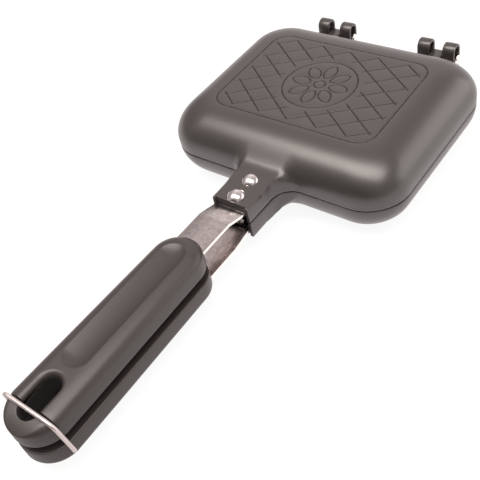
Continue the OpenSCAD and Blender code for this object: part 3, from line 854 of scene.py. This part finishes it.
def addKnuckle(body, outlines, middleX, width, edge):
    # flat profile in y and z with a hole, given a width and rounded edges
    outline, hole = outlines
    nick = 0.29 * edge
    steps = [(0, edge), (nick, nick), (edge, 0)]
    xs = [(-width / 2 + a, b) for a, b in steps] + [(width / 2 - a, b) for a, b in steps[::-1]]
    for line, way in ((outline, 1), (hole, -1)):
        rows = [np.insert(drawnOut(line, -shrink * way), 0, middleX + x, axis=1) for x, shrink in xs]
        addGrid(body, rows, closeAcross=True, flip=way < 0)
    outer, inner = drawnOut(outline, -edge), drawnOut(hole, edge)
    side = newBody()
    addSheet(side, [(True, outer), (True, inner)], between(outer, inner), flatAt(0.0), ownNormals=False)
    for way in (-1, 1):
        first = addPoints(body, [(middleX + way * width / 2, p[0], p[1]) for p in side["points"]])
        body["faces"].extend(tuple(first + i for i in f[::way]) for f in side["faces"])


def paintedShadeMask(casting, x, y, z):
    # the painted shade mask: 1 in the engraving, inside the neck and on its cut end, where no light gets in
    top, ax = casting["height"], abs(x)
    r = panShape["faceCornerR"]
    past = [max(v - half + casting["rounding"] + r, 0) for v, half in ((ax, halfW), (abs(y), halfD))]
    if z > top - 1 and math.hypot(*past) < r - 0.4:
        return min(max(1.6 * (top - z) / engraving["depth"], 0), 1)
    onEnd = y < neckEnd + 0.001 or (y < plateEnd - 0.01 and ax < flangeX - 0.06)
    onRoof = z < plateUnder + 0.01 or (ax > flangeX - 0.01 and z < neckShape["height"] - 0.2)
    return float(onEnd or (y < channelEnd + 0.1 and ax < flangeX + 0.01 and onRoof))


def makeShells():
    h = hingeShape
    upper, lower = castingBody(upperCasting, True), turnedDown(castingBody(lowerCasting, False))
    for side in (-h["x"], h["x"]):
        addKnuckle(upper, lugOutline(), side, h["width"] - 2 * h["ring"] - 2 * h["sideGap"], h["lugEdge"])
        for end in (-1, 1):
            x = side + end * (h["width"] - h["ring"]) / 2
            addKnuckle(lower, ringOutline(), x, h["ring"], h["ringEdge"])
    for half, body in (("upper", upper), ("lower", lower)):
        makePiece(half + "_shell_casting", body, half + "_half", [half + "_shell"], "coated_casting")
    print("shells made")


gripShape = {"near": -121.8, "length": 123.3, "nearR": 14.1, "farR": 15.5, "height": 13.0, "round": 5.6,
             "roundWidth": 7.6, "band": 4.0, "bulge": 0.05, "innerEdge": {"upper": 0.8, "lower": 0.6},
             "face": {"upper": 3.3, "lower": 2.0}, "slotLength": 23.2, "slotWidth": 11.4, "slotEnd": 6.4,
             "slotRim": 2.6, "slotFoot": 0.6, "recessLength": 81.0, "recessWidth": 15.4, "recessDepth": 1.7,
             "recessNear": 7.8, "recessCurve": 2.2, "stepY": -232.2, "stepBlend": 0.8, "stepR": 22.92,
             "grooveDepth": 1.5, "grooveWidth": 1.7, "grooveBlend": 0.6}
gripFar = gripShape["near"] - gripShape["length"]
# middles of the two round ends
farY, nearY = gripFar + gripShape["farR"], gripShape["near"] - gripShape["nearR"]
# far end, near end and width
gripSlot = (gripFar + gripShape["slotEnd"], gripFar + gripShape["slotEnd"] + gripShape["slotLength"],
            gripShape["slotWidth"])
gripRecess = (gripShape["near"] - gripShape["recessNear"] - gripShape["recessLength"],
              gripShape["near"] - gripShape["recessNear"], gripShape["recessWidth"])


def gripLoop(offset):
    # tapered outline drawn in by offset, counterclockwise from the step's right end
    g = gripShape
    r0, r1 = g["farR"] - offset, g["nearR"] - offset
    lean = math.asin((g["farR"] - g["nearR"]) / (nearY - farY))
    step = farY - g["stepY"]
    straight = np.linspace((r0 * math.cos(lean), farY + r0 * math.sin(lean)),
                           (r1 * math.cos(lean), nearY + r1 * math.sin(lean)), 24)
    straight[:, 0] += g["bulge"] * np.sin(np.linspace(0, np.pi, 24))
    lean = math.degrees(lean)
    right = np.concatenate([arc(0, farY, r0, -90, -math.degrees(math.asin((step + 0.15) / r0)), 22),
                            arc(0, farY, r0, -math.degrees(math.asin(step / r0)), lean, 4), straight[1:],
                            arc(0, nearY, r1, lean, 90, 22)[1:]])
    return np.concatenate([right, (right * (-1, 1))[::-1][1:-1]])


def stadiumDistance(x, y, far, near, w):
    # inside is negative
    return np.hypot(x, y - np.clip(y, far + w / 2, near - w / 2)) - w / 2


def stadiumLine(stadium, out=0.0):
    far, near, w = stadium
    return np.concatenate([arc(0, y, w / 2 + out, start, start + 180, 24)
                           for y, start in ((far + w / 2, 180), (near - w / 2, 0))])


def gripHeight(half):
    # height of the grip's upper surface over the plan; drop is given on the rounded edge's own loops
    g = gripShape
    pivotY, pivotZ = latchShape["pivot"]

    def outerDrop(x, y):
        k = np.clip((y - farY) / (nearY - farY), 0, 1)
        q = g["farR"] + (g["nearR"] - g["farR"]) * k - np.hypot(x, y - (farY + k * (nearY - farY)))
        return g["round"] * (1 - np.sqrt(1 - (1 - np.clip(q / g["roundWidth"], 0, 1)) ** 2))

    def height(x, y, drop=None):
        z = g["face"][half] + g["height"] - (outerDrop(x, y) if drop is None else drop)
        rim = np.clip(stadiumDistance(x, y, *gripSlot) - 0.0002, 0, g["slotRim"])
        z = z - (g["slotRim"] - np.sqrt(np.clip(g["slotRim"] ** 2 - (g["slotRim"] - rim) ** 2, 0, None)))
        scoop = np.clip(-stadiumDistance(x, y, *gripRecess) / (g["recessWidth"] / 2), 0, 1)
        z = z - g["recessDepth"] * (1 - (1 - scoop) ** g["recessCurve"]) * smooth(0, 0.08, scoop)
        if half == "upper":
            # the latch's bar snaps past the step into its groove
            room = pivotZ + np.sqrt(np.clip(g["stepR"] ** 2 - (y - pivotY) ** 2, 1, None))
            past = smooth(g["stepY"] + 0.02, g["stepY"] - 0.13, y)
            z = (1 - past) * z + past * softMin(z, room, g["stepBlend"])
            groove = g["stepY"] - g["grooveWidth"]
            z = z - g["grooveDepth"] * past * smooth(groove - g["grooveBlend"], groove, y)
        return z

    return height


def gripTopLines(rim, half):
    # edges that carry the recess, the slot's rim, the step and the crown
    g = gripShape
    lines = [(True, rim)]
    for d in (-0.1, 0, 0.15, 0.35, 0.6, 1.1, 1.8, 2.6, 3.5, 4.6, 5.8):
        lines.append((True, stadiumLine(gripRecess, -d)))
    for d in (0, 0.08, 0.3, 0.65, 1.05, 1.5, 2.0, 2.5, 2.7):
        lines.append((True, stadiumLine(gripSlot, d)))
    if half == "upper":
        for down in (-0.07, -0.02, 0.13, 0.18, 0.6, 1.1, 1.7, 2.0, 2.3, 3.0, 4.2, 5.5):
            y = g["stepY"] - down
            reach = math.sqrt((g["farR"] - g["band"]) ** 2 - (farY - y) ** 2) - 0.04
            lines.append((False, [(x, y) for x in np.linspace(-reach, reach, 17)]))
    lines += [(True, gripLoop(offset)) for offset in np.arange(g["band"] + 1, g["roundWidth"] + 0.1, 1.0)]
    lines += [(False, [(x, y) for x in np.linspace(-9.9, 9.9, 13)]) for y in np.arange(farY + 2, nearY, 3)]
    return lines


def gripBody(half):
    g = gripShape
    body = newBody()
    zFace, edge, height = g["face"][half], g["innerEdge"][half], gripHeight(half)
    # rounded upper edge, down to the band where the top starts
    loops = []
    for turn in np.linspace(0, math.acos(1 - g["band"] / g["roundWidth"]), 14):
        plan = gripLoop(g["roundWidth"] * (1 - math.cos(turn)))
        loops.append(np.column_stack([plan, height(*plan.T, g["round"] * (1 - math.sin(turn)))]))
    loops[-1][:, 2] = height(*loops[-1][:, :2].T)   # the crown starts from this one
    # side, and the small edge of the inner face
    low = [loops[0].copy()]
    low[0][:, 2] = (loops[0][:, 2] + zFace + edge) / 2
    for turn in np.radians(np.linspace(0, 90, 6)):
        low.append(atHeight(gripLoop(edge * (1 - math.cos(turn))), zFace + edge * (1 - math.sin(turn))))
    addGrid(body, low[::-1] + loops, closeAcross=True)
    rim, hole = loops[-1][:, :2], stadiumLine(gripSlot)
    addSheet(body, gripTopLines(rim, half), between(rim, hole), height)
    # inner face, and the slot's wall
    under, holeUnder = low[-1][:, :2], stadiumLine(gripSlot, g["slotFoot"])
    addSheet(body, [(True, under), (True, holeUnder)], between(under, holeUnder), flatAt(zFace), up=-1)
    wallTop = np.column_stack([hole, height(*hole.T)])
    wall = [wallTop, wallTop - (0, 0, 1.2), atHeight(hole, zFace + 5)]
    for turn in np.radians((0, 45, 90)):
        plan = stadiumLine(gripSlot, g["slotFoot"] * (1 - math.cos(turn)))
        wall.append(atHeight(plan, zFace + g["slotFoot"] * (1 - math.sin(turn))))
    addGrid(body, wall, closeAcross=True)
    wallHigh = max(wall[1][:, 2]) + 0.1

    # painted shade mask: the groove behind the step and the slot's wall, where little light gets in
    def dark(x, y, z):
        inGroove = half == "upper" and -g["grooveWidth"] - 0.1 < y - g["stepY"] < -0.1 and z > zFace + 5
        return float(inGroove or (stadiumDistance(x, y, *gripSlot) < 0.65 and z < wallHigh))

    body["groove"] = dark
    return body


def makeGrips():
    for half in ("upper", "lower"):
        makePiece(half + "_grip_moulding", onHalf(half, gripBody(half)), half + "_half", [half + "_grip"],
                  "grip_moulding")
    print("grips made")


strapShape = {"width": 19.0, "thickness": 1.8, "intoPan": 3.0, "inNeck": 6.3, "slope": 13.0, "intoGrip": 62.0,
              "inGrip": {"upper": 9.8, "lower": 8.5}, "bendR": 2.2, "edge": 0.25, "nick": 0.07}


def bentPath(corners, r):
    # straight runs with each corner rounded
    path = [corners[0]]
    for a, b, c in zip(corners[:-2], corners[1:-1], corners[2:]):
        one, two = unit(a - b), unit(c - b)
        half = math.acos(np.clip(one.dot(two), -1, 1)) / 2
        reach = r / math.tan(half)
        start, end = b + one * reach, b + two * reach
        centre = b + unit(one + two) * r / math.sin(half)
        path += [centre + unit(start * (1 - k) + end * k - centre) * r for k in np.linspace(0, 1, 7)]
    return np.array(path + [corners[-1]])


def strapBody(half):
    s = strapShape
    zGrip = s["inGrip"][half]
    corners = [(panFront - s["intoPan"], s["inNeck"]), (neckEnd - 1, s["inNeck"]),
               (neckEnd - s["slope"], zGrip), (gripShape["near"] - s["intoGrip"], zGrip)]
    path = bentPath(np.array(corners), s["bendR"])
    w, t, e, n = s["width"] / 2, s["thickness"] / 2, s["edge"], s["nick"]
    nick = np.array([(0, e), (n, n), (e, 0)])
    section = np.concatenate([(-w, -t) + nick, (w, -t) + nick[::-1] * (-1, 1), (w, t) - nick,
                              (-w, t) + nick[::-1] * (1, -1)])
    body = newBody()
    addClosedBar(body, [[(u, y + tz * v, z - ty * v) for u, v in section]
                        for (y, z), (ty, tz) in zip(path, tangents(path))])
    return body


def makeStraps():
    for half in ("upper", "lower"):
        makePiece(half + "_strap_strip", onHalf(half, strapBody(half)), half + "_half", [half + "_strap"],
                  "strap_steel", sharp=30)
    print("straps made")


rivetShape = {"headR": 5.0, "headH": 3.2, "shankR": 2.4, "tailR": 4.08, "tailH": 1.1, "tailEdge": 0.3,
              "headRim": 0.35, "headNick": (0.15, 0.18), "intoNeck": 11.5, "pitch": 13.2}


def domeProfile(r, h):
    ball = (r * r + h * h) / (2 * h)
    full = math.asin(min(r / ball, 1))
    return [(ball * math.sin(a), h - ball * (1 - math.cos(a))) for a in np.linspace(full, 0.0, 14)]


def rivetBody(y):
    r = rivetShape
    tail, base, rim = strapShape["inNeck"] - strapShape["thickness"] / 2, neckShape["height"], r["headRim"]
    end = tail - r["tailH"]
    across, up = r["headNick"]
    profile = [(0.0, end), (r["tailR"] - r["tailEdge"], end), (r["tailR"], end + r["tailEdge"]),
               (r["tailR"], tail), (r["shankR"], tail), (r["shankR"], base), (r["headR"] - across, base),
               (r["headR"], base + up)]
    profile += [(a, base + rim + b * (1 - rim / r["headH"])) for a, b in domeProfile(r["headR"], r["headH"])]
    body = newBody()
    lathe(body, profile, (0, y, 0), (0, 0, 1), 64)
    return body


def makeRivets():
    rear = panFront - rivetShape["intoNeck"]
    for half in ("upper", "lower"):
        for name, y in (("rear", rear), ("front", rear - rivetShape["pitch"])):
            makePiece(f"{half}_{name}_rivet_head", onHalf(half, rivetBody(y)), half + "_half",
                      [f"{half}_{name}_rivet"], "rivet_metal", sharp=50)
    print("rivets made")


screwShape = {"r": 1.75, "length": 7.0, "drive": 1.1, "arm": 1.7, "armHalf": 0.38, "sunk": 0.02,
              "along": {"rear": 0.3, "front": 0.8}}   # places as shares of the strap's length in the grip


def screwBody(y, zFace):
    s = screwShape
    r, arm, half = s["r"], s["arm"], s["armHalf"]
    head, end = 2 * r, r + s["length"]
    body = newBody()
    lathe(body, [(head - 0.1, 0.0), (head, 0.1), (r, r), (r, end - 0.6), (r - 0.5, end), (0.0, end)],
          (0, y, zFace), (0, 0, 1), 40)

    def height(x, yy):
        dx, dy = np.abs(x), np.abs(yy - y)
        cross = np.minimum(np.maximum(dx - arm, dy - half), np.maximum(dx - half, dy - arm))
        return zFace + s["drive"] * smooth(0.12, -0.35, cross)

    # head face with a cross recess
    rim = arc(0, y, head - 0.1, 0, 360, 41)[:-1]
    lines = [(True, rim)]
    for d in (0.12, -0.1, -0.34):
        a, b = arm + d, half + d
        quarter = np.array([(a, -b), (a, b), (b, b)])
        turns = [quarter @ np.array([[c, t], [-t, c]]) for c, t in ((1, 0), (0, 1), (-1, 0), (0, -1))]
        lines.append((True, np.concatenate(turns) + (0, y)))
    addSheet(body, lines, lambda p: inside(rim, p), height, up=-1)
    return body


def makeScrews():
    for half in ("upper", "lower"):
        for name, share in screwShape["along"].items():
            y = gripShape["near"] - share * strapShape["intoGrip"]
            body = onHalf(half, screwBody(y, gripShape["face"][half] - screwShape["sunk"]))
            makePiece(f"{half}_{name}_grip_screw", body, half + "_half", [f"{half}_{name}_screw"],
                      "screw_steel")
    print("screws made")


pinShape = {"headOver": 0.8, "headEdge": 0.1, "domeH": 1.5}


def makePins():
    h, p = hingeShape, pinShape
    r, head = h["pinR"], h["pinR"] + p["headOver"]
    reach = h["width"] / 2 + h["sideGap"]
    half = [(r, reach), (head - p["headEdge"], reach)]
    half += [(a, reach + b) for a, b in domeProfile(head, p["domeH"])]
    for name, x in (("left", -h["x"]), ("right", h["x"])):
        body = newBody()
        lathe(body, [(a, -b) for a, b in half[::-1]] + half, (x, hingeY, h["pinZ"]), (1, 0, 0), 40)
        makePiece(f"{name}_pin_polished", body, "hinge_pins", [f"{name}_hinge_pin"], "rivet_metal")
    print("hinge pins made")


latchShape = {"wireR": 1.0, "legX": 16.8, "bend": 5.0, "foot": 1.4, "seat": 4.5, "pivot": (-232.5, -7.8),
              "bar": (-234.2, 16.4)}


def squareBend(a, b, c, r, n):
    # a right angle at b, rounded
    one, two = unit(a - b), unit(c - b)
    centre = b + (one + two) * r
    return [centre - two * r * math.cos(k) - one * r * math.sin(k) for k in np.linspace(0, math.pi / 2, n)]


def makeLatch():
    s = latchShape
    pivot, bar = (np.array((0, *s[end])) for end in ("pivot", "bar"))
    leg = np.array([s["legX"], 0, 0])
    corners = [pivot + (gripShape["farR"] - s["seat"], 0, 0), pivot + leg, bar + leg, bar]
    right = [corners[0]] + squareBend(*corners[:3], s["foot"], 9) + squareBend(*corners[1:], s["bend"], 15)
    body = newBody()
    addClosedBar(body, sweepTube(right + [p * (-1, 1, 1) for p in right[::-1]], s["wireR"], 20))
    makePiece("latch_bail", body, "latch", ["latch_wire"], "bright_wire", sharp=60)
    print("latch made")


makeShells()
makeGrips()
makeStraps()
makeRivets()
makeScrews()
makePins()
makeLatch()


studio = {"floor": (0.15, 0.15, 0.15, 1), "floorGlow": 0.9, "floorGloss": 1.1,
          "floorTint": (1.0, 0.92, 0.915, 1), "fill": (0.4, 0.376, 0.37, 1), "room": (0.717, 0.645, 0.635, 1),
          "roomFront": (0.076, 0.069, 0.067, 1), "roomLeft": 0.45, "roomBack": 1.5, "roomRight": 0.62,
          "lampAim": (0, 0.04, 0.02),
          # name, direction from the object, distance, size, power and colour
          "lamps": [("overhead softbox", (0.05, -0.24, 0.95), 0.9, (1.36, 0.46), 12.0, (1.0, 0.92, 0.87)),
                    ("low back right softbox", (0.69, 0.65, 0.27), 0.95, (0.95, 0.5), 2.6, (1.0, 0.93, 0.9))]}


def ramp(tree, value, span, ends, kind="SMOOTHSTEP"):
    values = {"interpolation_type": kind, "From Min": span[0], "From Max": span[1], "To Min": ends[0],
              "To Max": ends[1]}
    return place(tree, "ShaderNodeMapRange", values, Value=value).outputs[0]


def directlySeen(tree):
    # the light path's outputs, and 1 where a ray comes from the camera or through glass
    seen = tree.nodes.new("ShaderNodeLightPath").outputs
    return seen, mathNode(tree, "MAXIMUM", seen["Is Camera Ray"], seen["Is Transmission Ray"])


def makeFloor():
    half, z = 3.0, -0.0005   # a hair under the iron's foot
    corners = [(x * half, y * half, z) for x, y in ((-1, -1), (1, -1), (1, 1), (-1, 1))]
    mesh = bpy.data.meshes.new("floor")
    mesh.from_pydata(corners, [], [(0, 1, 2, 3)])
    floor = bpy.data.objects.new("floor", mesh)
    bpy.context.scene.collection.objects.link(floor)
    material = bpy.data.materials.new("floor")
    material.use_nodes = True
    tree = material.node_tree
    tree.nodes.clear()
    out = tree.nodes.new("ShaderNodeOutputMaterial")
    lit = place(tree, "ShaderNodeBsdfDiffuse", {"Color": studio["floor"]})
    seen, direct = directlySeen(tree)
    # gloss sees the same white floor, dimmer towards the front
    split = place(tree, "ShaderNodeSeparateXYZ", Vector=objectPlace(tree))
    fade = ramp(tree, split.outputs["Y"], (-0.45, 0.0), (0.0, studio["floorGloss"]), "LINEAR")
    gloss = mathNode(tree, "MULTIPLY", seen["Is Glossy Ray"], fade)
    white = mathNode(tree, "MULTIPLY", direct, studio["floorGlow"])
    tint = mixColor(tree, seen["Is Glossy Ray"], (1, 1, 1, 1), studio["floorTint"])
    glow = place(tree, "ShaderNodeEmission", Color=tint, Strength=mathNode(tree, "MAXIMUM", white, gloss))
    both = tree.nodes.new("ShaderNodeAddShader")
    tree.links.new(lit.outputs[0], both.inputs[0])
    tree.links.new(glow.outputs[0], both.inputs[1])
    tree.links.new(both.outputs[0], out.inputs["Surface"])
    mesh.materials.append(material)


def mixShaders(tree, factor, a, b):
    node = tree.nodes.new("ShaderNodeMixShader")
    for socket, value in zip(node.inputs, (factor, a, b)):
        tree.links.new(value, socket)
    return node.outputs[0]


def makeWorld():
    world = bpy.data.worlds.new("studio")
    bpy.context.scene.world = world
    world.use_nodes = True
    tree = world.node_tree
    tree.nodes.clear()
    out = tree.nodes.new("ShaderNodeOutputWorld")
    seen, direct = directlySeen(tree)
    white = place(tree, "ShaderNodeBackground", {"Color": (1, 1, 1, 1), "Strength": 1.0})
    # the studio that gloss shows: pale all round, with a dark stretch low at the front
    where = tree.nodes.new("ShaderNodeTexCoord")
    way = place(tree, "ShaderNodeSeparateXYZ", Vector=where.outputs["Generated"]).outputs
    front = ramp(tree, way["Y"], (-0.5, -0.95), (0.0, 1.0))
    light = mixColor(tree, front, studio["room"], studio["roomFront"])
    left = ramp(tree, way["X"], (-0.5, -0.95), (1.0, studio["roomLeft"]))
    right = ramp(tree, way["X"], (-0.5, 0.15), (1.0, studio["roomRight"]))
    back = ramp(tree, way["Y"], (0.3, 0.85), (1.0, studio["roomBack"]))
    level = mathNode(tree, "MULTIPLY", mathNode(tree, "MULTIPLY", left, right), back)
    room = place(tree, "ShaderNodeBackground", Color=light, Strength=level)
    fill = place(tree, "ShaderNodeBackground", {"Color": studio["fill"], "Strength": 1.0})
    gloss = mixShaders(tree, seen["Is Glossy Ray"], fill.outputs[0], room.outputs[0])
    tree.links.new(mixShaders(tree, direct, gloss, white.outputs[0]), out.inputs["Surface"])


def makeLamps():
    aim = Vector(studio["lampAim"])
    for name, way, distance, size, power, color in studio["lamps"]:
        light = bpy.data.lights.new(name, "AREA")
        light.shape = "RECTANGLE"
        light.size, light.size_y = size
        light.energy = power
        light.color = color
        lamp = bpy.data.objects.new(name, light)
        bpy.context.scene.collection.objects.link(lamp)
        away = Vector(way).normalized()
        lamp.location = aim + away * distance
        lamp.rotation_mode = "QUATERNION"
        lamp.rotation_quaternion = away.to_track_quat("Z", "Y")


camera = {"azimuth": 47.247, "elevation": 45.113, "roll": -15.248, "lens": 55.24,
          "place": (0.20873, -0.20115, 0.29007)}


def makeCamera():
    data = bpy.data.cameras.new("camera")
    data.sensor_width = 36
    data.lens = camera["lens"]
    data.clip_start, data.clip_end = 0.01, 20
    eye = bpy.data.objects.new("camera", data)
    bpy.context.scene.collection.objects.link(eye)
    a, e, r = (math.radians(camera[k]) for k in ("azimuth", "elevation", "roll"))
    back = Vector((math.sin(a) * math.cos(e), -math.cos(a) * math.cos(e), math.sin(e)))
    right = Vector((math.cos(a), math.sin(a), 0))
    up = back.cross(right)
    across = right * math.cos(r) + up * math.sin(r)
    above = up * math.cos(r) - right * math.sin(r)
    turn = Matrix((across, above, back)).transposed()
    eye.matrix_world = Matrix.Translation(camera["place"]) @ turn.to_4x4()
    bpy.context.scene.camera = eye


makeFloor()
makeWorld()
makeLamps()
makeCamera()
bpy.context.scene.view_settings.view_transform = "Standard"
print("studio made")
